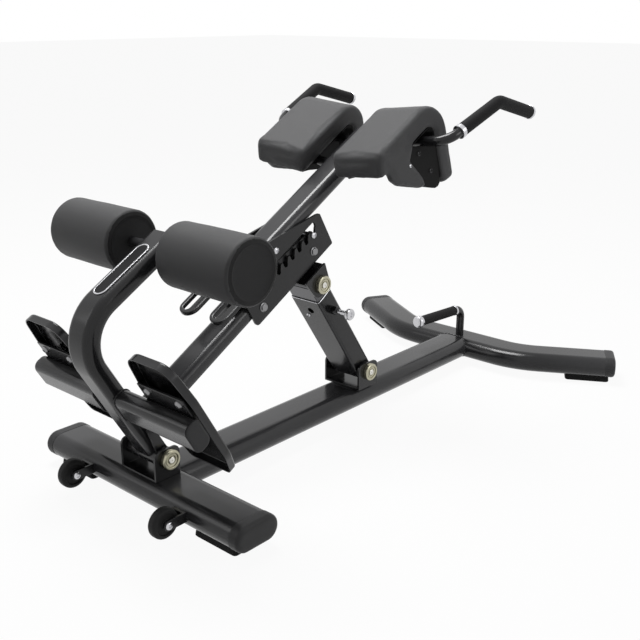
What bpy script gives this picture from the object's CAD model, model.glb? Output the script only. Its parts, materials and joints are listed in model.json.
"""Look of a back extension bench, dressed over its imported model: steel tube in black
powder coat, vinyl rollers and hip pads, rubber, bright aluminium and zinc trim."""
import json
from math import acos, cos, hypot, pi, radians, sin, sqrt, tan

import bmesh
import bpy
from mathutils import Matrix, Vector, noise


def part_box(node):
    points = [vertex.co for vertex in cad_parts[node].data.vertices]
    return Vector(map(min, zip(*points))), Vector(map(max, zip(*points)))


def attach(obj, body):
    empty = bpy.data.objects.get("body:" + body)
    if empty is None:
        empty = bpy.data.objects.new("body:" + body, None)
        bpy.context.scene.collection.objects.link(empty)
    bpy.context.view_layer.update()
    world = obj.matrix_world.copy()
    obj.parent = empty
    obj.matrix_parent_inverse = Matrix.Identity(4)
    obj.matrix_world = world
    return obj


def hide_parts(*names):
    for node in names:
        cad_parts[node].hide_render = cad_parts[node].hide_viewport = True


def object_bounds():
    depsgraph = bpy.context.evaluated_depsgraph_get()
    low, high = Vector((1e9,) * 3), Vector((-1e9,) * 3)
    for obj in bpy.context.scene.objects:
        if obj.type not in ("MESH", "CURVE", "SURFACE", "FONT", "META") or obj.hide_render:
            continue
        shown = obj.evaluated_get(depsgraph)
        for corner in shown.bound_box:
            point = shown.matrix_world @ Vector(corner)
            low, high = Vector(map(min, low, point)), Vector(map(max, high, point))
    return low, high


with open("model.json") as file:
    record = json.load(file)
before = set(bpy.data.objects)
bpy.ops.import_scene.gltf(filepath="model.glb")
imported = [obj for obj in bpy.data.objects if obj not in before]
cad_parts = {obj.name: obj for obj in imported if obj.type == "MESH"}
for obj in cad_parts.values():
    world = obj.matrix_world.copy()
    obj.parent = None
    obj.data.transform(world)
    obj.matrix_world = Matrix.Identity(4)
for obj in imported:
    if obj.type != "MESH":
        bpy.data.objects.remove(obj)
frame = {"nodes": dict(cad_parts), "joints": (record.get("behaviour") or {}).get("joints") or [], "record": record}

cad_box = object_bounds()
scene = bpy.context.scene


# Camera
# Stands ahead of the bench on its right, at the height and with the lens that
# the base and the arm of the photograph ask for.
camera = bpy.data.objects.new("camera", bpy.data.cameras.new("camera"))
scene.collection.objects.link(camera)
camera.data.sensor_width = 36.0
camera.data.lens = 51.877
camera.data.clip_start = 0.01
camera.location = (-1.80222, -1.55368, 1.07832)
camera.rotation_euler = (radians(71.443), 0.0, radians(-48.179))
scene.camera = camera


# Studio
# White backdrop and pale floor, under a broad soft lamp overhead, with a weak
# lamp on the camera's left and a stronger one on its right.
class Wire:
    """A socket of a node tree; arithmetic on it adds Math nodes."""

    def __init__(self, tree, socket):
        self.tree = tree
        self.socket = socket

    def beside(self, output):
        """Another output of the same node."""
        return Wire(self.tree, self.socket.node.outputs[output])

    def math(self, operation, *values):
        return self.tree.node("Math", {"operation": operation}, dict(enumerate(values)))

    def __add__(self, other):
        return self.math("ADD", self, other)

    def __sub__(self, other):
        return self.math("SUBTRACT", self, other)

    def __rsub__(self, other):
        return self.math("SUBTRACT", other, self)

    def __mul__(self, other):
        return self.math("MULTIPLY", self, other)

    def __pow__(self, other):
        return self.math("POWER", self, other)

    __radd__ = __add__
    __rmul__ = __mul__


class Tree:
    """Node tree of a material or a world."""

    def __init__(self, owner):
        owner.use_nodes = True
        self.owner = owner
        self.nodes = owner.node_tree.nodes
        self.links = owner.node_tree.links

    def plug(self, socket, value):
        if isinstance(value, Wire):
            self.links.new(value.socket, socket)
        elif hasattr(value, "__len__") and socket.type == "RGBA":
            socket.default_value = (*value, 1.0)
        else:
            socket.default_value = value

    def node(self, kind, settings=None, sockets=None, out=0):
        """Adds a node; settings come first, then the values or links of its sockets."""
        made = self.nodes.new("ShaderNode" + kind)
        for name, value in (settings or {}).items():
            setattr(made, name, value)
        for name, value in (sockets or {}).items():
            self.plug(made.inputs[name], value)
        return Wire(self, made.outputs[out])

    def mix(self, mask, first, second):
        """Colour that goes from the first to the second as the mask goes from 0 to 1."""
        return self.node("Mix", {"data_type": "RGBA"}, {0: mask, 6: first, 7: second}, 2)

    def spread(self, value, low, high):
        """Value stretched from a range to 0 to 1, and held at its ends."""
        return self.node("MapRange", None, {"Value": value, "From Min": low, "From Max": high})

    def seen(self):
        """1 for rays that show a background: straight, mirrored or through glass."""
        straight = self.node("LightPath", out="Is Camera Ray")
        mirror = straight.beside("Is Glossy Ray")
        either = straight.math("MAXIMUM", straight, mirror)
        return either.math("MAXIMUM", either, straight.beside("Is Transmission Ray"))


WHITE = (1.0, 1.0, 1.0)
world = bpy.data.worlds.new("studio")
scene.world = world
sky = Tree(world)
sky.nodes.clear()
dim = sky.node("Background", None, {"Color": WHITE, "Strength": 0.09})
white = sky.node("Background", None, {"Color": WHITE, "Strength": 1.0})
both = sky.node("MixShader", None, {0: sky.seen(), 1: dim, 2: white})
sky.links.new(both.socket, sky.nodes.new("ShaderNodeOutputWorld").inputs["Surface"])

scene.view_settings.view_transform = "Standard"


def lamp(name, place, aim, size, energy):
    """Square soft lamp turned towards a point."""
    light = bpy.data.lights.new(name, "AREA")
    light.shape = "SQUARE"
    light.size = size
    light.energy = energy
    holder = bpy.data.objects.new(name, light)
    holder.location = place
    holder.rotation_euler = (Vector(aim) - Vector(place)).to_track_quat("-Z", "Y").to_euler()
    scene.collection.objects.link(holder)


lamp("overhead", (-0.1, 0.9, 3.5), (0.0, 0.0, 0.4), 1.5, 118.0)
lamp("left_side", (-2.6, 1.9, 1.9), (0.0, 0.0, 0.4), 1.2, 6.0)
lamp("right_side", (0.9, -3.2, 1.9), (0.1, 0.0, 0.4), 1.6, 24.0)

FLOOR_HALF = 30
floor_mesh = bpy.data.meshes.new("floor")
floor_mesh.from_pydata([(x * FLOOR_HALF, y * FLOOR_HALF, 0)
                        for x, y in ((-1, -1), (1, -1), (1, 1), (-1, 1))], [], [(0, 1, 2, 3)])
floor = bpy.data.objects.new("floor", floor_mesh)
floor.location.z = cad_box[0].z - 0.0005
scene.collection.objects.link(floor)
pale = Tree(bpy.data.materials.new("pale_floor"))
glow = pale.node("Emission", None, {"Color": WHITE, "Strength": 1.0})
matte = pale.node("BsdfDiffuse", None, {"Color": (0.86, 0.86, 0.86)})
shown = pale.node("MixShader", None, {0: pale.seen() * 0.94, 1: matte, 2: glow})
pale.links.new(shown.socket, pale.nodes["Material Output"].inputs["Surface"])
floor_mesh.materials.append(pale.owner)


# Feet and beam
# Flat oval steel tube, bent on a mandrel at the rear, saddled, welded and
# powder-coated semi-gloss black over a faint orange peel.
class Finish(Tree):
    """Material whose constants stand straight on the Principled shader's sockets."""

    def __init__(self, name, **constants):
        super().__init__(bpy.data.materials.new(name))
        self.shader = self.nodes["Principled BSDF"]
        for key, value in constants.items():
            self.feed(key.replace("_", " ").title().replace("Ior", "IOR"), value)
        self.place = self.node("TexCoord", out="Object")

    def feed(self, socket, value):
        self.plug(self.shader.inputs[socket], value)

    def noise(self, scale, detail=2.0, rough=0.5, seed=0.0):
        """Noise in the piece's own metres, between 0 and 1."""
        where = self.place
        if seed:
            where = self.node("Mapping", None, {"Vector": where, "Location": (seed,) * 3})
        return self.node("TexNoise", None, {"Vector": where, "Scale": scale, "Detail": detail,
                                            "Roughness": rough})

    def bump(self, height, distance, strength):
        self.feed("Normal", self.node("Bump", None, {"Height": height, "Distance": distance,
                                                     "Strength": strength}))

    def worn(self):
        """Mask of the sharp outer edges."""
        return self.spread(self.node("NewGeometry", out="Pointiness"), 0.53, 0.60)


def powder_coat(name, dark=(0.010, 0.010, 0.011), light=(0.018, 0.018, 0.019), gloss=0.19):
    paint = Finish(name, Specular_IOR_Level=0.32)
    cloud = paint.noise(7.0, 3.0)
    peel = paint.noise(900.0, 1.0, 0.4)
    grit = paint.noise(2600.0, 1.0, 0.5, seed=3.0)
    tint = paint.mix(cloud, dark, light)
    paint.feed("Base Color", paint.mix(paint.worn() * 0.35, tint, (0.11, 0.11, 0.115)))
    paint.feed("Roughness", gloss - 0.03 + cloud * 0.05 + grit * 0.03)
    paint.bump(peel + grit * 0.3, 0.00003, 0.3)
    return paint


coat = powder_coat("powder_coat")


def link(name, mesh):
    piece = bpy.data.objects.new(name, mesh)
    scene.collection.objects.link(piece)
    return piece


def mounted(piece, finish, body, slot, *nodes, angle=34.0):
    """Gives a piece its finish, with crisp edges, and its place on the bench."""
    piece.data.materials.clear()
    piece.data.materials.append(finish.owner)
    piece.data.shade_smooth()
    piece.data.set_sharp_from_angle(angle=radians(angle))
    flat = piece.modifiers.new("normals", "WEIGHTED_NORMAL")
    flat.keep_sharp = True
    flat.weight = 80
    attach(piece, body)
    if nodes:
        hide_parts(*nodes)


def coated(name, mesh, body, *nodes):
    """Steel piece in the bench's powder coat."""
    mounted(link(name, mesh), coat, body, "painted_steel", *nodes)


def settled(form, mesh):
    """Writes a form to a mesh, with its faces turned outwards."""
    bmesh.ops.recalc_face_normals(form, faces=form.faces)
    form.to_mesh(mesh)
    form.free()
    return mesh


def joined(meshes):
    """One mesh of several."""
    form = bmesh.new()
    for mesh in meshes:
        form.from_mesh(mesh)
    for spare in meshes[1:]:
        bpy.data.meshes.remove(spare)
    return settled(form, meshes[0])


def strip(rows, closed=False):
    """Mesh through rows of points, each row a closed ring."""
    count = len(rows[0])
    faces = []
    for k in range(len(rows) if closed else len(rows) - 1):
        after = (k + 1) % len(rows)
        for j in range(count):
            on = (j + 1) % count
            faces.append((k * count + j, k * count + on, after * count + on, after * count + j))
    if not closed:
        faces.append(tuple(range(count)))
        faces.append(tuple(range((len(rows) - 1) * count, len(rows) * count)))
    mesh = bpy.data.meshes.new("strip")
    mesh.from_pydata([tuple(point) for row in rows for point in row], [], faces)
    return joined([mesh])


def oval(wide, deep, corner, steps):
    """Outline of a flat oval about its middle."""
    outline = []
    for quarter, (side, up) in enumerate(((1, 1), (-1, 1), (-1, -1), (1, -1))):
        for k in range(steps + 1):
            turn = (quarter + k / steps) * pi / 2
            outline.append((side * (wide / 2 - corner) + corner * cos(turn),
                            up * (deep / 2 - corner) + corner * sin(turn)))
    return outline


def bent(points, radii, step=5.0):
    """Path through the points with rounded corners."""
    points = [Vector(point) for point in points]
    if not hasattr(radii, "__len__"):
        radii = [radii] * (len(points) - 2)
    path = [points[0]]
    for before, corner, after, radius in zip(points, points[1:], points[2:], radii):
        back = (before - corner).normalized()
        on = (after - corner).normalized()
        inside = acos(max(-1.0, min(1.0, back.dot(on))))
        centre = corner + (back + on).normalized() * (radius / sin(inside / 2))
        first = corner + back * (radius / tan(inside / 2)) - centre
        last = corner + on * (radius / tan(inside / 2)) - centre
        whole = first.angle(last)
        count = max(2, round((pi - inside) / radians(step)))
        for k in range(count + 1):
            share = k / count
            path.append(centre + (first * sin((1 - share) * whole)
                                  + last * sin(share * whole)) / sin(whole))
    return path + [points[-1]]


def swept(path, outline, up):
    """Mesh of an outline swept along a path in one plane; up is square to that plane."""
    rows = []
    last = len(path) - 1
    for k, point in enumerate(path):
        back = (point - path[k - 1]).normalized() if k > 0 else None
        on = (path[k + 1] - point).normalized() if k < last else None
        way = (back or on) + (on or back)
        way.normalize()
        mitre = 1.0 / max(0.5, way.dot(back or on))
        side = up.cross(way)
        rows.append([point + side * (a * mitre) + up * b for a, b in outline])
    return strip(rows)


def round_bar(path, radii, sides=36, closed=False):
    """Round bar along any path, of one radius or of one for each point."""
    rows = []
    aside = None
    last = len(path) - 1
    for k, point in enumerate(path):
        ahead = path[(k + 1) % len(path)] if closed or k < last else point
        behind = path[k - 1] if closed or k > 0 else point
        way = (ahead - behind).normalized()
        aside = aside or way.orthogonal()
        aside = (aside - way * aside.dot(way)).normalized()
        other = way.cross(aside)
        thick = radii[k] if hasattr(radii, "__len__") else radii
        turns = [2 * pi * j / sides for j in range(sides)]
        rows.append([point + (aside * cos(turn) + other * sin(turn)) * thick for turn in turns])
    return strip(rows, closed)


def finer(path, pitch):
    """Path cut into steps no longer than the pitch."""
    result = [path[0]]
    for first, second in zip(path, path[1:]):
        count = max(1, round((second - first).length / pitch))
        result += [first.lerp(second, k / count) for k in range(1, count + 1)]
    return result


def weld(name, seam, radius, body):
    """Coated weld bead round a closed seam, with the ripple of the torch."""
    path = finer(seam + seam[:1], 0.0012)[:-1]
    radii = []
    walked = 0.0
    for point, ahead in zip(path, path[1:] + path[:1]):
        radii.append(radius * (0.90 + 0.14 * sin(2 * pi * walked / 0.0022)))
        walked += (ahead - point).length
    coated(name, round_bar(path, radii, 10, True), body)


UPWARDS = Vector((0, 0, 1))
foot_low, foot_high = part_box("front_foot")
foot_middle = (foot_low + foot_high) / 2
foot_size = foot_high - foot_low
FOOT = (foot_size.x, foot_size.z, foot_size.z / 2 - 0.0002, 9)
FOOT_SECTION = oval(*FOOT)


def in_foot(x, y, up=0.0):
    """Point at the height of the feet's middle, or above it."""
    return Vector((x, y, foot_middle.z + up))


ends = [in_foot(foot_middle.x, y) for y in (foot_low.y, foot_high.y)]
coated("front_foot_tube", swept(ends, FOOT_SECTION, UPWARDS), "base", "front_foot")

REAR_X = foot_middle.x + 1.263
REAR_STRAIGHT = 0.211
REAR_SWEEP = radians(30)
REAR_LEG = 0.294
CAP_LENGTH = 0.029


def rear_end(side, back):
    """Point on the rear foot's swept leg, back from its tip."""
    along = REAR_LEG - back
    return in_foot(REAR_X + along * sin(REAR_SWEEP),
                   side * (REAR_STRAIGHT + along * cos(REAR_SWEEP)))


corners = [in_foot(REAR_X, side * REAR_STRAIGHT) for side in (-1, 1)]
rear_path = bent([rear_end(-1, CAP_LENGTH), *corners, rear_end(1, CAP_LENGTH)], 0.25, 3.0)
coated("rear_foot_tube", swept(rear_path, FOOT_SECTION, UPWARDS), "base", "rear_foot")

saddle = foot_size.x / 2 - foot_size.z / 2
ends = [in_foot(foot_middle.x + saddle + 0.001, 0), in_foot(REAR_X - saddle - 0.001, 0)]
coated("base_beam_tube", swept(ends, FOOT_SECTION, UPWARDS), "base", "base_beam")

for tag, centre, way in (("front", foot_middle.x, 1), ("rear", REAR_X, -1)):
    seam = []
    for y, up in FOOT_SECTION:
        reach = saddle + sqrt(max(0.0, (foot_size.z / 2) ** 2 - up * up))
        seam.append(in_foot(centre + way * reach, y, up))
    weld("beam_weld_" + tag, seam, 0.0020, "base")


# End caps
# Moulded polypropylene caps pushed into the feet, with a lip round the tube
# and a softly domed face.
def moulded(name, colour, rough):
    plastic = Finish(name, Specular_IOR_Level=0.22)
    spark = plastic.noise(1500.0, 2.0, 0.6)
    paler = tuple(c * 1.35 for c in colour)
    plastic.feed("Base Color", plastic.mix(plastic.noise(14.0), colour, paler))
    plastic.feed("Roughness", rough - 0.04 + spark * 0.10)
    plastic.bump(spark, 0.00010, 0.6)
    return plastic


cap_plastic = moulded("cap_plastic", (0.026, 0.026, 0.027), 0.44)
SIDES = ((1, "l"), (-1, "r"))
CAP_FACE = ((-CAP_LENGTH, -0.0006), (0.0002 - CAP_LENGTH, 0.0004), (0.0008 - CAP_LENGTH, 0.0008),
            (-0.0100, 0.0008), (-0.0075, 0.0005), (-0.0045, -0.0005), (-0.0020, -0.0026),
            (-0.0005, -0.0056), (0.0, -0.0102), (0.0002, -0.0172))


def to_left(y):
    """Step across the bench, to its left."""
    return Vector((0, y, 0))


def cap(name, face, section, tip, way, up, body, *nodes):
    """Plastic cap on a tube's end; the face lists how far along and how much wider."""
    wide, deep, corner, steps = section
    side = up.cross(way)
    rows = []
    for along, grow in face:
        outline = oval(wide + 2 * grow, deep + 2 * grow, corner + grow, steps)
        rows.append([tip + way * along + side * a + up * b for a, b in outline])
    mounted(link(name, strip(rows)), cap_plastic, body, "black_plastic", *nodes)


for side, tag in SIDES:
    tip = in_foot(foot_middle.x, side * (foot_size.y / 2 + CAP_LENGTH))
    cap("front_end_cap_" + tag, CAP_FACE, FOOT, tip, to_left(side), UPWARDS, "base",
        "front_cap_" + tag)
    way = Vector((sin(REAR_SWEEP), side * cos(REAR_SWEEP), 0))
    cap("rear_end_cap_" + tag, CAP_FACE, FOOT, rear_end(side, 0.0), way, UPWARDS, "base",
        "rear_cap_" + tag)


# Rubber blocks
# Blocks of ribbed black rubber under the ends of both feet, which keep the
# bench from sliding.
body_of = {node: body for body, nodes in frame["record"]["behaviour"]["bodies"].items()
           for node in nodes}


def dressed(name, node, slot, finish, width):
    """Copy of a CAD piece with its edges broken and its round faces smoothed."""
    mesh = frame["nodes"][node].data.copy()
    mesh.name = name
    form = bmesh.new()
    form.from_mesh(mesh)
    bmesh.ops.remove_doubles(form, verts=form.verts, dist=1e-6)
    bmesh.ops.dissolve_degenerate(form, edges=form.edges, dist=1e-7)
    form.to_mesh(mesh)
    form.free()
    if "custom_normal" in mesh.attributes:
        mesh.attributes.remove(mesh.attributes["custom_normal"])
    piece = link(name, mesh)
    edge = piece.modifiers.new("edges", "BEVEL")
    edge.width = width
    edge.segments = 2
    edge.limit_method = "ANGLE"
    edge.angle_limit = radians(34.0)
    edge.use_clamp_overlap = True
    mounted(piece, finish, body_of[node], slot, node)


rubber = Finish("block_rubber", Specular_IOR_Level=0.15)
ribs = rubber.node("TexWave", {"bands_direction": "Y"}, {"Vector": rubber.place, "Scale": 80.0,
                                                         "Distortion": 0.0})
crumb = rubber.noise(900.0, 3.0, 0.6)
rubber.feed("Base Color", rubber.mix(crumb, (0.010, 0.010, 0.010), (0.026, 0.026, 0.026)))
rubber.feed("Roughness", 0.66 + crumb * 0.2)
rubber.bump(ribs + crumb * 0.4, 0.0006, 0.8)
for place in ("front", "rear"):
    for side, tag in SIDES:
        dressed(f"{place}_block_{tag}", f"{place}_rubber_{tag}", "rubber", rubber, 0.0006)


# Transport wheels
# Solid rubber tyre on a moulded web and hub, turning on a bolt with domed heads
# through a fork that is welded to the front foot.
def turned(name, profile, centre, way, steps=64):
    """Solid of revolution about a direction. The profile lists radius and height, and
    the word hex where a ring is a hexagon of that half width."""
    form = bmesh.new()
    rings = []
    for radius, height, *kind in profile:
        ring = []
        for k in range(steps if radius else 1):
            turn = 2 * pi * k / steps
            reach = radius / cos((turn + pi / 6) % (pi / 3) - pi / 6) if kind else radius
            ring.append(form.verts.new((reach * cos(turn), reach * sin(turn), height)))
        rings.append(ring)
    pairs = list(zip(rings, rings[1:]))
    if len(rings[0]) > 1 and len(rings[-1]) > 1:
        pairs.append((rings[-1], rings[0]))
    for low, high in pairs:
        for k in range(steps):
            on = (k + 1) % steps
            corners = [low[k % len(low)], low[on % len(low)],
                       high[on % len(high)], high[k % len(high)]]
            form.faces.new(list(dict.fromkeys(corners)))
    piece = link(name, settled(form, bpy.data.meshes.new(name)))
    piece.location = centre
    piece.rotation_mode = "QUATERNION"
    piece.rotation_quaternion = way.to_track_quat("Z", "Y")
    return piece


def mirrored(half):
    """Profile with its own mirror image added below."""
    return half + [(radius, -height) for radius, height in reversed(half)]


def below(top, *pairs):
    """Profile from radii and how far each lies below the top."""
    return [(radius, top - dip) for radius, dip in pairs]


def bright(name, colour, rough, rings=0.0):
    """Bare or plated metal, with the rings of a lathe where asked for."""
    metal = Finish(name, Metallic=1.0)
    height = fine = metal.noise(1800.0, 2.0, 0.6)
    darker = tuple(c * 0.86 for c in colour)
    metal.feed("Base Color", metal.mix(metal.noise(40.0), colour, darker))
    metal.feed("Roughness", rough - 0.04 + fine * 0.10)
    if rings:
        x = metal.node("SeparateXYZ", None, {0: metal.place}, "X")
        y = x.beside("Y")
        turns = (x * x + y * y) ** 0.5 * rings
        height = fine + turns.math("SINE", turns)
    metal.bump(height, 0.00005, 0.6)
    return metal


tyre_rubber = moulded("tyre_rubber", (0.012, 0.012, 0.012), 0.62)
bolt_steel = bright("bolt_steel", (0.60, 0.60, 0.62), 0.26)
dull_steel = bright("dull_bolt_steel", (0.26, 0.26, 0.265), 0.34)
fork_coat = powder_coat("fork_coat", (0.008, 0.008, 0.009), (0.014, 0.014, 0.015), 0.26)


def spans(node):
    """Middle of a CAD node and its half sizes."""
    low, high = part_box(node)
    return (low + high) / 2, [(far - near) / 2 for near, far in zip(low, high)]


def shank(name, centre, radius, reach, body, node):
    """Plain round shank of a bolt that runs across the bench."""
    rod = turned(name, mirrored([(0.0, reach), (radius, reach)]), centre, to_left(1), 32)
    mounted(rod, bolt_steel, body, "bright_steel", node)


def dome_bolt(name, centre, way, radius, height, body, finish=bolt_steel, slot="bright_steel"):
    """Domed bolt head with a hexagon socket, its underside at the centre."""
    hex_out, hex_in, floor_level = radius * 0.42, radius * 0.40, height - height * 0.45
    profile = [(0.0, 0.0), (radius, 0.0), (radius, height * 0.25)]
    profile += [(radius * cos(t), height * (0.25 + 0.75 * sin(t))) for t in (0.35, 0.65, 0.9, 1.05)]
    profile += [(hex_out * 1.12, height * 0.985), (hex_out, height, "hex"),
                (hex_in, floor_level, "hex"), (0.0, floor_level - radius * 0.06)]
    mounted(turned(name, profile, centre, way, 36), finish, body, slot, angle=40.0)


HAND = {"l": "left", "r": "right"}
HUB_BORE, WHEEL_HEAD = 0.0043, 0.0045
for side, tag in SIDES:
    hub, (_, half, radius) = spans("wheel_" + tag)
    tread = below(half, (HUB_BORE, 0.0), (0.0112, 0.0), (0.0120, 0.0006), (0.0128, 0.0032),
                  (radius * 0.60, 0.0040), (radius * 0.68, 0.0036), (radius * 0.72, 0.0012),
                  (radius * 0.78, 0.0006), (radius * 0.86, 0.0012))
    tread += [(radius - 0.0062 * (1 - sin(t)), half - 0.0012 - 0.0068 * (1 - cos(t)))
              for t in (0.3, 0.6, 0.9, 1.2, pi / 2)]
    wheel = turned("tyre_" + tag, mirrored(tread), hub, to_left(1), 72)
    mounted(wheel, tyre_rubber, HAND[tag] + "_wheel", "rubber", "wheel_" + tag, angle=40.0)
    dressed("wheel_bracket_" + tag, "wheel_fork_" + tag, "painted_steel", fork_coat, 0.0007)
    reach = spans("wheel_bolt_" + tag)[1][1] - WHEEL_HEAD
    shank("wheel_axle_" + tag, hub, 0.004, reach, "base", "wheel_bolt_" + tag)
    for way in (1, -1):
        dome_bolt(f"wheel_bolt_head_{tag}{'o' if way == side else 'i'}",
                  hub + to_left(way * reach), to_left(way), 0.0088, WHEEL_HEAD, "base")


# Clevises and pivot pins
# Channels of folded plate, with turned bearing caps of yellow-passivated zinc
# over the ends of each pin, and the coated tubes and plates that turn on them.
dressed("front_fork_plate", "front_clevis", "painted_steel", coat, 0.0012)
dressed("prop_fork_plate", "prop_clevis", "painted_steel", coat, 0.0012)
zinc = bright("yellow_zinc", (0.46, 0.44, 0.33), 0.30, 5200.0)
ground = bright("ground_pin_end", (0.72, 0.71, 0.66), 0.24)
PIN_CENTRE = ((0.0, -0.0016), (0.0013, -0.0014), (0.0017, 0.0), (0.0070, 0.0),
              (0.0080, -0.0008), (0.0082, -0.0030), (0.0, -0.0030))


def bearing_pin(name, node, body, radius):
    """Pin with its two bearing caps, and the ground end of the pin in each."""
    middle, (_, out, rim) = spans(node)
    rim += 0.0026
    half = below(out, (0.0, 0.0030), (0.0086, 0.0030), (0.0090, 0.0044), (0.0104, 0.0044),
                 (0.0108, 0.0026), (0.0124, 0.0020), (0.0150, 0.0018), (0.0154, 0.0032),
                 (0.0168, 0.0032), (0.0172, 0.0006), (0.0182, 0.0), (rim - 0.0024, 0.0),
                 (rim - 0.0006, 0.0014), (rim, 0.0034), (rim, 0.0116), (rim - 0.0004, 0.0120),
                 (radius, 0.0120))
    pin = turned(name, mirrored(half), middle, to_left(1), 72)
    mounted(pin, zinc, body, "zinc_steel", node, angle=30.0)
    for side, tag in SIDES:
        place = middle + to_left(side * (out - 0.0006))
        end = turned(f"{name}_end_{tag}", PIN_CENTRE, place, to_left(side), 40)
        mounted(end, ground, body, "zinc_steel", angle=30.0)


bearing_pin("front_bearing_pin", "front_pivot_pin", "base", 0.010)
bearing_pin("prop_bearing_pin", "prop_pivot_pin", "base", 0.010)
bearing_pin("upper_bearing_pin", "prop_top_pin", "incline", 0.009)
for node in ("pivot_barrel", "prop_bracket", "prop_tube", "rack_plate_l", "rack_plate_r"):
    width = 0.0006 if node == "pivot_barrel" else 0.0008
    dressed(node + "_coated", node, "painted_steel", coat, width)


# Transport handle
# Bent round tube with a rubber foam grip between a bright collar and a turned
# aluminium cap.
foam = Finish("grip_rubber", Specular_IOR_Level=0.15)
pores = foam.node("TexVoronoi", None, {"Vector": foam.place, "Scale": 1100.0})
crumb = foam.noise(260.0, 3.0, 0.6)
foam.feed("Base Color", foam.mix(crumb, (0.009, 0.009, 0.009), (0.015, 0.015, 0.016)))
foam.feed("Roughness", 0.62 + crumb * 0.2)
foam.bump(pores + crumb * 0.6, 0.00016, 0.5)
aluminium = bright("polished_aluminium", (0.62, 0.62, 0.64), 0.24)
GRIP_EDGE = 0.0022


def length_of(path):
    return sum((second - first).length for first, second in zip(path, path[1:]))


def part_of(path, start, end):
    """Stretch of a path between two lengths along it."""
    walked = 0.0
    piece = []
    for first, second in zip(path, path[1:]):
        length = (second - first).length
        if walked <= start <= walked + length:
            piece.append(first.lerp(second, (start - walked) / length))
        if piece and start < walked + length < end:
            piece.append(second)
        if walked <= end <= walked + length:
            piece.append(first.lerp(second, (end - walked) / length))
            break
        walked += length
    return piece


def grip(name, path, radius, body, node):
    """Foam sleeve with rounded ends along a path."""
    whole = length_of(path)
    fine = finer(path, 0.002)
    walked = 0.0
    radii = []
    for k, point in enumerate(fine):
        walked += (point - fine[k - 1]).length if k else 0.0
        near = min(walked, whole - walked, GRIP_EDGE)
        dip = GRIP_EDGE * (1 - sqrt(max(0.0, 1 - (1 - near / GRIP_EDGE) ** 2)))
        radii.append(radius - dip * 0.8)
    mounted(link(name, round_bar(fine, radii, 40)), foam, body, "rubber", node)


def end_cap(name, path, radius, length, body, node):
    """Turned cap over the end of a tube: a rounded face with a groove behind it."""
    way = (path[-1] - path[-2]).normalized()
    profile = below(length, (0.0, 0.0), (radius * 0.60, 0.0002), (radius * 0.80, 0.0010),
                    (radius * 0.92, 0.0024), (radius, 0.0050), (radius, 0.0074),
                    (radius - 0.0008, 0.0080), (radius - 0.0008, 0.0090), (radius, 0.0096))
    profile += [(radius, 0.0004), (radius - 0.0006, 0.0), (0.0, 0.0)]
    mounted(turned(name, profile, path[-1], way, 56), aluminium, body, "bright_aluminium", node,
            angle=30.0)


def collar(name, path, radius, body, node):
    """Bright ring with chamfered edges round a tube."""
    fine = finer(path, 0.0008)
    radii = [radius - 0.0009, *[radius] * (len(fine) - 2), radius - 0.0009]
    mounted(link(name, round_bar(fine, radii, 48)), aluminium, body, "bright_aluminium", node,
            angle=30.0)


BAR_RADIUS, CARRY_CAP, CARRY_GRIP, CARRY_RING, GRIP_GAP = 0.0125, 0.016, 0.182, 0.007, 0.0003
carry_low, carry_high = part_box("carry_handle")
CARRY_X = carry_high.x - BAR_RADIUS
CARRY_TOP = Vector((CARRY_X, 0, 0.165))
slope_back = Vector((-0.2395, 0, 0.0125)).normalized()
carry_end = CARRY_TOP + slope_back * 0.23983 - slope_back * CARRY_CAP
carry_path = bent([Vector((CARRY_X, 0, carry_low.z)), CARRY_TOP, carry_end], 0.030, 6.0)
coated("carry_tube", round_bar(carry_path, BAR_RADIUS), "base", "carry_handle")
whole = length_of(carry_path)
grip("carry_sleeve", part_of(carry_path, whole - CARRY_GRIP, whole - GRIP_GAP), 0.0150, "base",
     "carry_grip")
ring_end = whole - CARRY_GRIP - GRIP_GAP
collar("carry_ring", part_of(carry_path, ring_end - CARRY_RING, ring_end), 0.0160, "base",
       "carry_collar")
end_cap("carry_end_cap", carry_path, 0.0180, CARRY_CAP, "base", "carry_cap")


# Incline: arm, tube and crossbar
# A smaller flat oval tube, bent for the arm, with the joints welded all round
# and moulded plugs in the open ends.
def joint_at(name):
    return Vector(next(j for j in frame["joints"] if j["name"] == name)["pos_m"])


pivot = joint_at("incline_angle")
LEAN = radians(30)


def on_slope(u, y, v):
    """Point of the incline from sizes up its slope, across it and square to it."""
    return Vector((pivot.x + u * cos(LEAN) - v * sin(LEAN), y,
                   pivot.z + u * sin(LEAN) + v * cos(LEAN)))


UP_SLOPE = on_slope(1, 0, 0) - on_slope(0, 0, 0)
OFF_SLOPE = on_slope(0, 0, 1) - on_slope(0, 0, 0)
SIDEWAYS = to_left(1)
TUBE_DEEP, TUBE_WIDE, TUBE_CORNER, TUBE_STEPS = TUBE = (0.044, 0.076, 0.018, 8)
TUBE_SECTION = oval(*TUBE)
SEAM = oval(TUBE_DEEP + 0.001, TUBE_WIDE + 0.001, TUBE_CORNER, TUBE_STEPS)
SEAM_RADIUS = 0.0019
ARM_U, ARM_V, ARM_END = 0.0013, 0.380, 0.305
TUBE_V, TUBE_END = 0.0845, 0.655
PLUG_FACE = ((-0.001, -0.0022), (0.0003, -0.0014), (0.0016, -0.0014), (0.0030, -0.0030),
             (0.0036, -0.0070))

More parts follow.
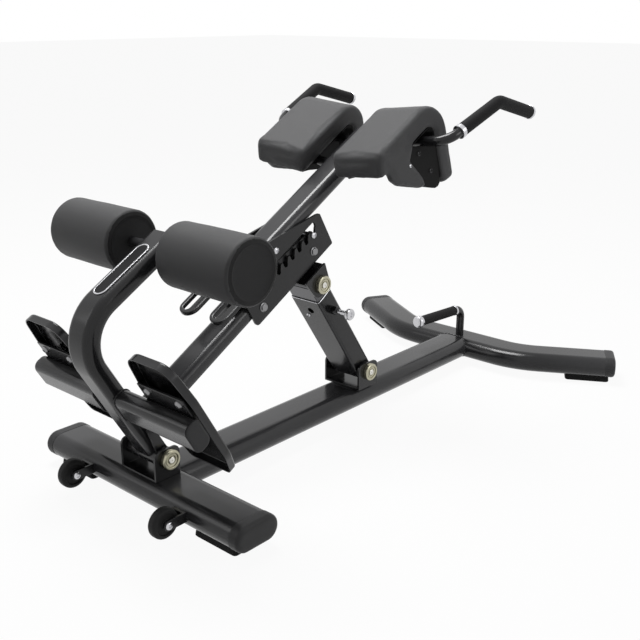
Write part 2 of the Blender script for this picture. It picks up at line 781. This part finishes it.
arm_path = bent([on_slope(u, 0, v) for u, v in ((ARM_U, 0.0), (ARM_U, ARM_V), (ARM_END, ARM_V))],
                0.102, 4.0)
coated("arm_tube", swept(arm_path, TUBE_SECTION, SIDEWAYS), "incline", "roller_arm")
ends = [on_slope(ARM_U + TUBE_DEEP / 2 - 0.004, 0, TUBE_V), on_slope(TUBE_END, 0, TUBE_V)]
coated("slope_tube", swept(ends, TUBE_SECTION, SIDEWAYS), "incline", "incline_tube")
cap("arm_plug", PLUG_FACE, TUBE, on_slope(ARM_END, 0, ARM_V), UP_SLOPE, SIDEWAYS, "incline")
cap("slope_plug", PLUG_FACE, TUBE, on_slope(TUBE_END, 0, TUBE_V), UP_SLOPE, SIDEWAYS, "incline")

CROSS_U, CROSS_V, CROSS_HALF = 0.0023, 0.1735, 0.266
for side, tag in SIDES:
    ends = [on_slope(CROSS_U, side * y, CROSS_V) for y in (0.0345, CROSS_HALF)]
    stands_for = ["foot_crossbar"] if side > 0 else []
    coated("crossbar_" + tag, swept(ends, TUBE_SECTION, OFF_SLOPE), "incline", *stands_for)
    cap("crossbar_plug_" + tag, PLUG_FACE, TUBE, ends[1], to_left(side), OFF_SLOPE, "incline")
    seam = [on_slope(CROSS_U + a, side * 0.0385, CROSS_V + b) for a, b in SEAM]
    weld("crossbar_weld_" + tag, seam, SEAM_RADIUS, "incline")
seam = [on_slope(ARM_U + TUBE_DEEP / 2 + 0.0005, b, TUBE_V + a) for a, b in SEAM]
weld("slope_weld", seam, SEAM_RADIUS, "incline")


def plate(outline, low, high, place, width=0.0010, holes=()):
    """Plate with broken edges from an outline, from the low to the high level of its
    third size; place puts its three sizes in the scene."""
    curve = bpy.data.curves.new("plate", "CURVE")
    curve.dimensions = "2D"
    curve.fill_mode = "BOTH"
    curve.extrude = (high - low) / 2 - width
    curve.bevel_depth = width
    curve.bevel_resolution = 1
    curve.offset = -width
    for ring in (outline, *holes):
        line = curve.splines.new("POLY")
        line.points.add(len(ring) - 1)
        for target, point in zip(line.points, ring):
            target.co = (point[0], point[1], 0.0, 1.0)
        line.use_cyclic_u = True
    holder = link("plate", curve)
    bpy.context.view_layer.update()
    graph = bpy.context.evaluated_depsgraph_get()
    mesh = bpy.data.meshes.new_from_object(holder.evaluated_get(graph))
    bpy.data.objects.remove(holder)
    for vertex in mesh.vertices:
        vertex.co = place(vertex.co.x, vertex.co.y, vertex.co.z + (low + high) / 2)
    form = bmesh.new()
    form.from_mesh(mesh)
    bmesh.ops.remove_doubles(form, verts=form.verts, dist=1e-6)
    return settled(form, mesh)


def oval_at(x, y, *sizes):
    """Outline of a flat oval about a point."""
    return [(x + a, y + b) for a, b in oval(*sizes)]


STRIP_FACE, STRIP_THICK, STRIP_Y, STRIP_V = ARM_U + TUBE_DEEP / 2 + 0.001, 0.005, 0.184, 0.203
STRIP_BOLTS_Y, STRIP_BOLTS_V = (0.137, 0.235), 0.238
for side, tag in SIDES:
    outline = oval_at(side * STRIP_Y, STRIP_V, 0.144, 0.106, 0.004, 3)
    mesh = plate(outline, STRIP_FACE - STRIP_THICK, STRIP_FACE, lambda x, y, z: on_slope(z, x, y))
    coated("foot_strip_" + tag, mesh, "incline")
    for y in STRIP_BOLTS_Y:
        place = on_slope(STRIP_FACE - STRIP_THICK, side * y, STRIP_BOLTS_V)
        dome_bolt(f"foot_bolt_{tag}_{round(y * 1000)}", place, -UP_SLOPE, 0.0095, 0.0060,
                  "incline", dull_steel)


# Footplates
# Pans pressed from sheet, with a turned-down edge and large soft corners, bolted
# to the strips of the crossbar.
PAN_LEVELS = (0.012, 0.072, 0.236, 0.3340)
PAN_HALF = (0.063, 0.081, 0.082, 0.063)
PAN_RADII = (0.016, 0.090, 0.090, 0.040)
PAN_FACE, PAN_DEEP, SHEET = STRIP_FACE + 0.0003, 0.020, 0.003
PAN_MIDDLE, PAN_BEND, CORNER_STEPS = 0.187, 0.005, 8

pan_profile = [(0.030, 0.0)]
pan_profile += [(PAN_BEND * (1 - sin(t)), PAN_BEND * (1 - cos(t)))
                for t in (0.0, 0.4, 0.8, 1.2, pi / 2)]
pan_profile += [(0.0, PAN_DEEP - 0.0006), (0.0006, PAN_DEEP), (SHEET - 0.0006, PAN_DEEP),
                (SHEET, PAN_DEEP - 0.0006)]
inner = PAN_BEND - SHEET
pan_profile += [(SHEET + inner * (1 - sin(t)), SHEET + inner * (1 - cos(t)))
                for t in (pi / 2, 1.0, 0.5, 0.0)]
pan_profile += [(0.030, SHEET)]


def pan_ring(inset, depth, side):
    """Outline of the pan, drawn in and at a depth from its face."""
    levels = (PAN_LEVELS[0] + inset, *PAN_LEVELS[1:3], PAN_LEVELS[3] - inset)
    right = [(half - inset, v) for half, v in zip(PAN_HALF, levels)]
    points = right + [(-half, v) for half, v in reversed(right)]
    radii = [max(0.004, radius - inset) for radius in PAN_RADII]
    ring = []
    for k, radius in enumerate(radii + radii[::-1]):
        corner = [(*points[(k + step) % len(points)], 0) for step in (-1, 0, 1)]
        arc = bent(corner, radius, 1.0)[1:-1]
        ring += [arc[round(j * (len(arc) - 1) / CORNER_STEPS)] for j in range(CORNER_STEPS + 1)]
    level = PAN_FACE + PAN_DEEP - depth
    return [on_slope(level, side * PAN_MIDDLE + point.x, point.y) for point in ring]


for side, tag in SIDES:
    rows = [pan_ring(inset, depth, side) for inset, depth in pan_profile]
    coated("foot_pan_" + tag, strip(rows), "incline", "footplate_" + tag)


# Name plate's place
# Bare oval plate on the arm: a raised bright border round a dark enamelled face.
def drifting(name, gloss, dark, light, rough, scales, change=0.1):
    """Plain finish whose colour and roughness drift over the surface."""
    look = Finish(name, Specular_IOR_Level=gloss)
    look.feed("Base Color", look.mix(look.noise(scales[0]), dark, light))
    look.feed("Roughness", rough + look.noise(scales[1]) * change)
    return look


PLATE_U, PLATE_TOP = 0.179, ARM_V + TUBE_DEEP / 2 + 0.0003
rim = oval_at(PLATE_U, 0.0, 0.160, 0.038, 0.0188, 14)
field = oval_at(PLATE_U, 0.0, 0.1524, 0.0304, 0.0150, 14)
mesh = plate(rim, PLATE_TOP, PLATE_TOP + 0.0022, on_slope, 0.0005, [field])
mounted(link("plate_border", mesh), aluminium, "incline", "bright_aluminium", "name_plate")
enamel = drifting("plate_enamel", 0.10, (0.007, 0.007, 0.008), (0.012, 0.012, 0.013), 0.34,
                  (60.0, 300.0), 0.08)
face = oval_at(PLATE_U, 0.0, 0.1530, 0.0310, 0.0153, 14)
mesh = plate(face, PLATE_TOP, PLATE_TOP + 0.0011, on_slope, 0.0003)
mounted(link("plate_face", mesh), enamel, "incline", "bright_aluminium")


# Ankle rollers
# Foam cylinders in black vinyl, drawn over a welded edge at each end, with a
# recessed end disc; they turn on a tube through the arm.
def grained(name, dark, light, rough, grain, seed=0.0):
    """Vinyl with the pressed grain of leather cloth."""
    hide = Finish(name, Specular_IOR_Level=0.24)
    cells = hide.node("TexVoronoi", {"feature": "DISTANCE_TO_EDGE"},
                      {"Vector": hide.place, "Scale": grain})
    creases = hide.spread(cells, 0.0, 0.16)
    cloud = hide.noise(9.0, 3.0, seed=seed)
    dirt = hide.noise(320.0, 3.0, 0.6)
    hide.feed("Base Color", hide.mix(cloud * 0.7 + dirt * 0.3, dark, light))
    hide.feed("Roughness", rough + 0.10 - creases * 0.08 + cloud * 0.06)
    hide.bump(creases + dirt * 0.35, 0.00035, 0.55)
    return hide


vinyl = grained("roller_vinyl", (0.040, 0.040, 0.041), (0.056, 0.056, 0.058), 0.44, 620.0)
disc_vinyl = grained("roller_end_vinyl", (0.011, 0.011, 0.0115), (0.016, 0.016, 0.0165),
                     0.54, 700.0)
edge_vinyl = grained("roller_edge_vinyl", (0.005, 0.005, 0.0052), (0.008, 0.008, 0.0082),
                     0.56, 700.0)
ROLLER_EDGE = 0.008

for side, tag in SIDES:
    centre, (_, half, radius) = spans("roller_" + tag)
    radius -= 0.0006
    disc = radius * 0.80
    inner = radius - ROLLER_EDGE
    profile = below(half, (0.0, 0.0040), (0.014, 0.0040), (0.030, 0.0036),
                    (disc - 0.0080, 0.0032), (disc - 0.0030, 0.0026), (disc, 0.0008),
                    (disc + 0.0022, 0.0), (inner - 0.0030, 0.0008))
    profile += [(inner + ROLLER_EDGE * sin(t), half - 0.0016 - ROLLER_EDGE * (1 - cos(t)))
                for t in (pi / 2 * k / 8 for k in range(9))]
    profile += [(radius, half - 0.030 - 0.012 * k) for k in range(int((half - 0.030) / 0.012) + 1)]
    roller = turned("roller_cushion_" + tag, mirrored(profile), centre, to_left(side), 112)
    for vertex in roller.data.vertices:
        x, y, z = vertex.co
        reach = hypot(x, y)
        if reach < 0.02:
            continue
        swell = 0.0006 * cos(pi * z / (2 * half))
        swell += 0.0007 * noise.noise(Vector((x, y, z)) * 16.0 + Vector((side * 3.1, 0, 0)))
        near_end = max(0.0, 1 - abs(abs(z) - half) / 0.020)
        spot = Vector((x, y, 0)).normalized() * 9.0 + Vector((0, 0, z * 20))
        pleat = 0.0005 * near_end * noise.noise(spot)
        outward = Vector((x / reach, y / reach, 0))
        vertex.co += outward * (swell + pleat) * min(1.0, reach / radius)
    mounted(roller, vinyl, HAND[tag] + "_roller", "vinyl", "roller_" + tag, angle=60.0)
    roller.data.materials.append(disc_vinyl.owner)
    roller.data.materials.append(edge_vinyl.owner)
    for polygon in roller.data.polygons:
        reach = hypot(*polygon.center[:2])
        on_edge = 2 if reach < radius - ROLLER_EDGE * 0.55 else 0
        polygon.material_index = 1 if reach < disc else on_edge

centre, (_, half, radius) = spans("roller_axle")
ends = [centre + to_left(side * half) for side in (-1, 1)]
coated("roller_tube", round_bar(ends, radius), "incline", "roller_axle")


# Bolts of the notched plates
# Flanged hexagon bolts through the incline tube, and a domed guide bolt above
# the channel on each plate; a moulded block guides the mast between them.
RACK_FACE, RACK_BOLT_V = 0.0445, 0.0765
GUIDE_U, GUIDE_V = 0.5228, 0.1679
HEX, HEX_TOP = 0.0088, 0.0062
HEX_HEAD = ((0.0, 0.0), (HEX * 1.30, 0.0), (HEX * 1.30, 0.0008), (HEX * 1.12, 0.0018),
            (HEX, 0.0019, "hex"), (HEX, HEX_TOP - 0.0012, "hex"), (HEX, HEX_TOP - 0.0006),
            (HEX * 0.90, HEX_TOP), (HEX * 0.55, HEX_TOP - 0.0001), (0.0, HEX_TOP - 0.0004))
for u, tag in ((0.418, "low"), (0.626, "high")):
    centre = on_slope(u, 0, RACK_BOLT_V)
    shank("rack_shank_" + tag, centre, 0.005, RACK_FACE, "incline", "rack_bolt_" + tag)
    for side, end in SIDES:
        head = turned(f"rack_bolt_{tag}_{end}", HEX_HEAD,
                      centre + to_left(side * (RACK_FACE + 0.0002)), to_left(side), 48)
        mounted(head, dull_steel, "incline", "bright_steel", angle=25.0)
for side, end in SIDES:
    dome_bolt("guide_bolt_" + end, on_slope(GUIDE_U, side * RACK_FACE, GUIDE_V), to_left(side),
              0.0085, 0.0060, "incline")
mounted(link("slide_block_moulded", frame["nodes"]["slide_block"].data.copy()), cap_plastic,
        "incline", "black_plastic", "slide_block")


# Slide: mast, rails and handles
# Oval tube that rides over the incline, crossed by two round bars in a shallow
# V; the upper one runs on into the hand grips.
MAST_V, MAST_START, HANDLE_U = 0.1705, 0.385, 0.9505
V_TILT = radians(7)
LEVER_U, LEVER_V = 0.405, 0.133
LUG_TOP, LUG_EYE, LUG_BORE, LUG_Y, LUG_THICK = 0.1495, 0.011, 0.0054, 0.0240, 0.005


def v_height(y):
    return MAST_V + abs(y) * tan(V_TILT)


ends = [on_slope(MAST_START, 0, MAST_V), on_slope(HANDLE_U + 0.0345, 0, MAST_V)]
coated("mast", swept(ends, TUBE_SECTION, SIDEWAYS), "pad_slide", "mast_tube")
cap("mast_plug_low", PLUG_FACE, TUBE, ends[0], -UP_SLOPE, SIDEWAYS, "pad_slide")
cap("mast_plug_high", PLUG_FACE, TUBE, ends[1], UP_SLOPE, SIDEWAYS, "pad_slide")

lug = [(LEVER_U - LUG_EYE, LUG_TOP), (LEVER_U + LUG_EYE, LUG_TOP)]
lug += [(LEVER_U + LUG_EYE * cos(pi * k / 16), LEVER_V - LUG_EYE * sin(pi * k / 16))
        for k in range(17)]
eye = [(LEVER_U + LUG_BORE * cos(2 * pi * k / 32), LEVER_V + LUG_BORE * sin(2 * pi * k / 32))
       for k in range(32)]
for side, tag in SIDES:
    middle = side * LUG_Y
    mesh = plate(lug, middle - LUG_THICK / 2, middle + LUG_THICK / 2,
                 lambda x, y, z: on_slope(x, z, y), 0.0006, [eye])
    coated("lever_lug_" + tag, mesh, "pad_slide")

RAIL_U, RAIL_HALF, V_BEND = HANDLE_U - 0.1005, 0.190, 0.10
rail = [on_slope(RAIL_U, y, v_height(y)) for y in (-RAIL_HALF, 0.0, RAIL_HALF)]
coated("pad_cross_rail", round_bar(bent(rail, V_BEND, 2.0), BAR_RADIUS), "pad_slide", "pad_rail")

BEND_Y, GRIP_Y, GRIP_CAP, GRIP_RING = 0.285, 0.3081, 0.012, 0.012


def handle_line(side):
    """Handle's centre line from the middle of the bench to its cap."""
    corner_v = v_height(BEND_Y)
    points = [on_slope(*p) for p in ((HANDLE_U, 0, MAST_V), (HANDLE_U, side * BEND_Y, corner_v),
                                     (HANDLE_U + 0.2022, side * GRIP_Y, corner_v - 0.0225),
                                     (HANDLE_U + 0.3225, side * GRIP_Y, corner_v - 0.1379))]
    points[-1] += (points[-2] - points[-1]).normalized() * GRIP_CAP
    return bent(points, (0.040, 0.032))


left, right = handle_line(1), handle_line(-1)
middle = bent([right[1], right[0], left[1]], V_BEND, 2.0)
coated("handle_tube", round_bar(right[:0:-1] + middle[1:-1] + left[1:], BAR_RADIUS), "pad_slide",
       "handle_bar")
ring_start = BEND_Y / cos(V_TILT) + 0.029
ring_end = ring_start + GRIP_RING
for line, tag in ((left, "l"), (right, "r")):
    collar("handle_ring_" + tag, part_of(line, ring_start, ring_end), 0.0180, "pad_slide",
           "grip_collar_" + tag)
    grip_line = part_of(line, ring_end + GRIP_GAP, length_of(line) - GRIP_GAP)
    grip("handle_sleeve_" + tag, grip_line, 0.0165, "pad_slide", "hand_grip_" + tag)
    end_cap("handle_end_" + tag, line, 0.0180, GRIP_CAP, "pad_slide", "grip_cap_" + tag)


# Hip pads
# Moulded foam on a bent backing board, upholstered in matte black vinyl: crowned
# on top, rolled over at the far end, with a flap of the cover down the outer side.
pad_vinyl = grained("pad_vinyl", (0.060, 0.060, 0.062), (0.078, 0.078, 0.080), 0.46, 560.0, 5.0)
shell_plastic = drifting("shell_plastic", 0.10, (0.003, 0.003, 0.003), (0.006, 0.006, 0.006), 0.5,
                         (40.0, 900.0))
shell_plastic.bump(shell_plastic.noise(1400.0), 0.0001, 0.4)
PAD_START, PAD_Y, PAD_WIDTH, PAD_THICK = 0.1650, 0.1345, 0.165, 0.054
PAD_TOP, PAD_ROLL, PAD_TURN, PAD_DROP, DROP_THICK = 0.194, 0.0450, radians(110.5), 0.125, 0.048
PAD_NEAR = -0.012
PAD_BACK = 0.0171
PAD_MIDDLE = PAD_BACK + PAD_THICK / 2
SWELL, PAD_EDGE = 0.0012, 0.010
FLAP = [(0.016, 0.026), (0.0150, -0.010), (0.026, -0.033), (0.088, -0.086), (0.104, -0.093),
        (0.110, -0.074), (0.095, -0.010), (0.114, 0.004), (0.132, 0.026)]
CHEEK = [(0.024, 0.0145), (0.022, -0.004), (0.040, -0.038), (0.130, -0.117), (0.140, -0.125),
         (0.152, -0.128), (0.163, -0.124), (0.202, -0.046), (0.197, -0.036), (0.157, -0.006),
         (0.120, 0.0145)]
INNER_CHEEK = [(0.003, 0.0145), (0.008, 0.0005), (0.0305, -0.0110), (0.150, -0.092),
               (0.160, -0.082), (0.164, -0.050), (0.168, 0.0145)]


def pad_line():
    """Cushion's middle line in side view, with its turn, from the near end."""
    line = [(PAD_NEAR + k, 0.0, 0.0) for k in (0.0, 0.0007, 0.0022, 0.0045, 0.0080, 0.0130)]
    line += [(line[-1][0] + (PAD_TOP - line[-1][0]) * k / 20, 0.0, 0.0) for k in range(1, 21)]
    for k in range(1, 19):
        turn = PAD_TURN * k / 18
        line.append((PAD_TOP + PAD_ROLL * sin(turn), -PAD_ROLL * (1 - cos(turn)), turn))
    x, z, turn = line[-1]
    steps = [PAD_DROP * k / 12 for k in range(1, 12)]
    steps += [PAD_DROP - k for k in (0.0045, 0.0022, 0.0007, 0.0)]
    return line + [(x + step * cos(turn), z - step * sin(turn), turn) for step in steps]


def pad_depth(turn):
    return PAD_THICK + (DROP_THICK - PAD_THICK) * turn / PAD_TURN


def pad_place(side):
    """Puts a pad's own sizes (along, across, up) on the incline."""
    tilt = Matrix.Rotation(side * V_TILT, 4, "X")
    base = Vector((HANDLE_U - PAD_START, side * PAD_Y, v_height(PAD_Y)))
    return lambda x, y, z: on_slope(*(base + tilt @ Vector((x, y, z))))


def cushion_form():
    """Rings of the cushion before it swells, in the pad's own sizes."""
    line = pad_line()
    walked = [0.0]
    for (x0, z0, _), (x1, z1, _) in zip(line, line[1:]):
        walked.append(walked[-1] + hypot(x1 - x0, z1 - z0))
    whole = walked[-1]
    rings = []
    for (x, z, turn), gone in zip(line, walked):
        near = min(gone, whole - gone, PAD_EDGE)
        dip = PAD_EDGE * (1 - sqrt(max(0.0, 1 - (1 - near / PAD_EDGE) ** 2)))
        half = PAD_WIDTH / 2 - SWELL - dip * 0.9
        deep = pad_depth(turn) / 2 - SWELL - dip * 0.7
        lean = 0.45 * max(0.0, 1 - gone / 0.110)
        slant = 0.18 * max(0.0, 1 - (whole - gone) / 0.060)
        ring = []
        for y, up in oval(2 * half, 2 * deep, 0.0105, 5):
            crown = (0.0030 if up > 0 else 0.0) * (1 - (y / half) ** 2)
            sag = (0.0040 if up < 0 else 0.0) * max(0.0, 1 - gone / 0.150)
            level = up + crown - sag
            shift = lean * (up + deep) + slant * (deep - up)
            ring.append((x + level * sin(turn) + shift * cos(turn), y,
                         PAD_MIDDLE + z + level * cos(turn) - shift * sin(turn)))
        rings.append(ring)
    return rings


def blow(piece, most):
    """Lets the cover swell over its foam, no point further than the given distance."""
    start = [vertex.co.copy() for vertex in piece.data.vertices]
    outward = [vertex.normal.copy() for vertex in piece.data.vertices]
    cloth = piece.modifiers.new("swell", "CLOTH")
    cloth.settings.use_pressure = True
    cloth.settings.uniform_pressure_force = 4.0
    cloth.settings.effector_weights.gravity = 0.0
    cloth.settings.quality = 5
    cloth.point_cache.frame_start = 1
    cloth.point_cache.frame_end = 20
    for step in range(1, 21):
        scene.frame_set(step)
    graph = bpy.context.evaluated_depsgraph_get()
    swollen = [vertex.co.copy() for vertex in piece.evaluated_get(graph).data.vertices]
    piece.modifiers.remove(cloth)
    scene.frame_set(1)
    for vertex, old, new, out in zip(piece.data.vertices, start, swollen, outward):
        vertex.co = old + out * max(-0.0004, min(most, (new - old).dot(out)))
    soften = bmesh.new()
    soften.from_mesh(piece.data)
    bmesh.ops.smooth_vert(soften, verts=soften.verts, factor=0.5, use_axis_x=True,
                          use_axis_y=True, use_axis_z=True)
    soften.to_mesh(piece.data)
    soften.free()


def cushion(side, tag):
    """Cushion and its flap under one cover, blown up over the foam."""
    meshes = [strip(cushion_form()),
              plate(FLAP, PAD_WIDTH / 2 - 0.022, PAD_WIDTH / 2 - SWELL,
                    lambda x, y, z: Vector((x, side * z, y)), 0.0045)]
    place = pad_place(side)
    for mesh in meshes:
        for vertex in mesh.vertices:
            vertex.co = place(*vertex.co)
    piece = link("hip_cushion_" + tag, joined(meshes))
    bpy.context.view_layer.objects.active = piece
    piece.select_set(True)
    remesh = piece.modifiers.new("skin", "REMESH")
    remesh.mode = "VOXEL"
    remesh.voxel_size = 0.0045
    relax = piece.modifiers.new("relax", "SMOOTH")
    relax.factor = 0.5
    relax.iterations = 2
    bpy.ops.object.modifier_apply(modifier="skin")
    bpy.ops.object.modifier_apply(modifier="relax")
    blow(piece, 0.0022)
    even = piece.modifiers.new("even", "SUBSURF")
    even.levels = even.render_levels = 1
    bpy.ops.object.modifier_apply(modifier="even")
    piece.select_set(False)
    normals = [vertex.normal.copy() for vertex in piece.data.vertices]
    for vertex, normal in zip(piece.data.vertices, normals):
        vertex.co += normal * noise.noise(vertex.co * 30.0) * 0.00025
    mounted(piece, pad_vinyl, "pad_slide", "vinyl", "hip_pad_" + tag, angle=75.0)


def behind(gap):
    """Line of the backing board in side view, a gap away from the cushion."""
    line = []
    for x, z, turn in pad_line()[3:-4]:
        away = pad_depth(turn) / 2 + gap
        line.append((x - away * sin(turn), z - away * cos(turn) + PAD_MIDDLE))
    return [(0.016, line[0][1])] + line[4:]


def backing(side, tag):
    """Board behind the cushion, with a cheek down each side, and its screws."""
    board = behind(0.0003) + list(reversed(behind(0.0033)))
    half = PAD_WIDTH / 2 - 0.008
    place = pad_place(side)
    meshes = [plate(board, -half, half, lambda x, y, z: place(x, z, y), 0.0004)]
    meshes += [plate(outline, low, low + 0.003, lambda x, y, z: place(x, side * z, y), 0.0008)
               for outline, low in ((CHEEK, half - 0.0035), (INNER_CHEEK, -half + 0.018))]
    mounted(link("pad_backing_" + tag, joined(meshes)), shell_plastic, "pad_slide",
            "black_plastic", "pad_shell_" + tag)
    outward = place(0, side, 0) - place(0, 0, 0)
    for k, (x, z) in enumerate(((0.136, -0.016), (0.150, -0.078))):
        dome_bolt(f"pad_screw_{tag}_{k}", place(x, side * (half - 0.0008), z), outward, 0.0065,
                  0.0036, "pad_slide", fork_coat, "black_plastic")
    dome_bolt("flap_screw_" + tag, place(0.0855, side * (PAD_WIDTH / 2 - 0.0006), -0.016),
              outward, 0.0050, 0.0024, "pad_slide")


for side, tag in SIDES:
    cushion(side, tag)
    backing(side, tag)


# Release lever and catch pin
# Two side arms cut from plate on one pivot bar, with a deep finger loop on each,
# carrying a ground steel pin between domed heads.
ARM_INNER, ARM_OUTER = 0.0300, 0.0355
CATCH_U, CATCH_V, EYE = 0.6455, 0.1135, 0.0088
LOOP_U, LOOP_Y, LOOP_LOW, LOOP_HIGH = 0.3205, 0.0525, 0.1570, 0.1680
lever = [(0.298, 0.155), (0.360, 0.155), (0.393, 0.122), (0.560, 0.1180),
         (CATCH_U - 0.012, CATCH_V - EYE + 0.001)]
lever += [(CATCH_U + EYE * sin(pi * k / 10), CATCH_V - EYE * cos(pi * k / 10)) for k in range(11)]
lever += [(0.560, 0.1305), (0.396, 0.1435), (0.380, 0.1460), (0.369, 0.168), (0.298, 0.168)]
meshes = []
for side in (1, -1):
    meshes.append(plate(lever, ARM_INNER, ARM_OUTER, lambda x, y, z: on_slope(x, side * z, y),
                        0.0007))
    ring = oval_at(LOOP_U, LOOP_Y, 0.093, 0.056, 0.0278, 10)
    slot = oval_at(LOOP_U - 0.004, LOOP_Y + 0.0003 + side * 0.0048, 0.062, 0.023, 0.0113, 10)
    meshes.append(plate(ring, LOOP_LOW, LOOP_HIGH, lambda x, y, z: on_slope(x, side * y, z),
                        0.0024, [slot]))
meshes.append(round_bar([on_slope(LEVER_U, y, LEVER_V) for y in (-0.0352, 0.0352)], 0.005))
mounted(link("finger_loops", joined(meshes)), fork_coat, "catch", "painted_steel",
        "release_lever")
centre, (_, reach, radius) = spans("catch_pin")
half = below(reach, (0.0, 0.0), (radius - 0.0012, 0.0), (radius - 0.0002, 0.0010),
             (radius, 0.0016))
pin = turned("notch_pin", mirrored(half), centre, to_left(1), 48)
mounted(pin, bolt_steel, "catch", "bright_steel", "catch_pin", angle=30.0)
for side, end in SIDES:
    dome_bolt("notch_pin_head_" + end, centre + to_left(side * (reach - 0.0006)), to_left(side),
              0.0086, 0.0052, "catch")


# Telescopic prop
# Rectangular tube with a bright bead round its mouth, a plated inner slider, and
# a spring plunger whose knob stands out on the right.
plated = bright("plated_slider", (0.11, 0.11, 0.115), 0.20)
dressed("prop_inner_tube", "prop_slider", "bright_steel", plated, 0.0008)
foot = joint_at("prop_tilt")
along = (on_slope(0.592, 0, -0.002) - foot).normalized()
front = Vector((-along.z, 0, along.x))
PROP_MOUTH, PROP_FACE = 0.3058, 0.0290
mouth = foot + along * PROP_MOUTH
lip = [mouth + front * a + SIDEWAYS * b for a, b in oval(0.055, 0.097, 0.0065, 6)]
mounted(link("prop_mouth_lip", round_bar(lip, 0.0013, 10, True)), aluminium, "prop_outer",
        "bright_aluminium")
dome_bolt("prop_screw", foot + along * 0.245 + front * PROP_FACE + SIDEWAYS * 0.0150, front,
          0.0062, 0.0052, "prop_outer")
dark_bore = drifting("dark_bore", 0.0, (0.0005, 0.0005, 0.0005), (0.0015, 0.0015, 0.0015), 0.7,
                     (300.0, 90.0))
disc = [(0.0, 0.0006), (0.0090, 0.0006), (0.0094, 0.0003), (0.0094, 0.0), (0.0, 0.0)]
spot = foot + along * 0.267 + front * (PROP_FACE + 0.0002) - SIDEWAYS * 0.003
bung = turned("prop_hole_bung", disc, spot, front, 32)
mounted(bung, dark_bore, "prop_outer", "black_plastic")

low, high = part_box("pull_pin")
knob = below(low.y, (0.0, -0.0030), (0.0045, -0.0030), (0.0063, 0.0), (0.0118, 0.0),
             (0.0140, -0.0010), (0.0150, -0.0030), (0.0150, -0.0100), (0.0138, -0.0122),
             (0.0112, -0.0140), (0.0066, -0.0150), (0.0065, -0.0340), (0.0060, -0.0345),
             (0.0050, -0.0350))
knob += [(0.005, high.y - 0.001), (0.004, high.y), (0.0, high.y)]
centre = Vector(((low.x + high.x) / 2, 0, (low.z + high.z) / 2))
pull = turned("plunger_knob", knob, centre, to_left(1), 56)
mounted(pull, bolt_steel, "plunger", "bright_steel", "pull_pin", angle=30.0)


for node in frame["nodes"].values():
    if not node.hide_render:
        node.data.materials.clear()
        node.data.materials.append(coat.owner)
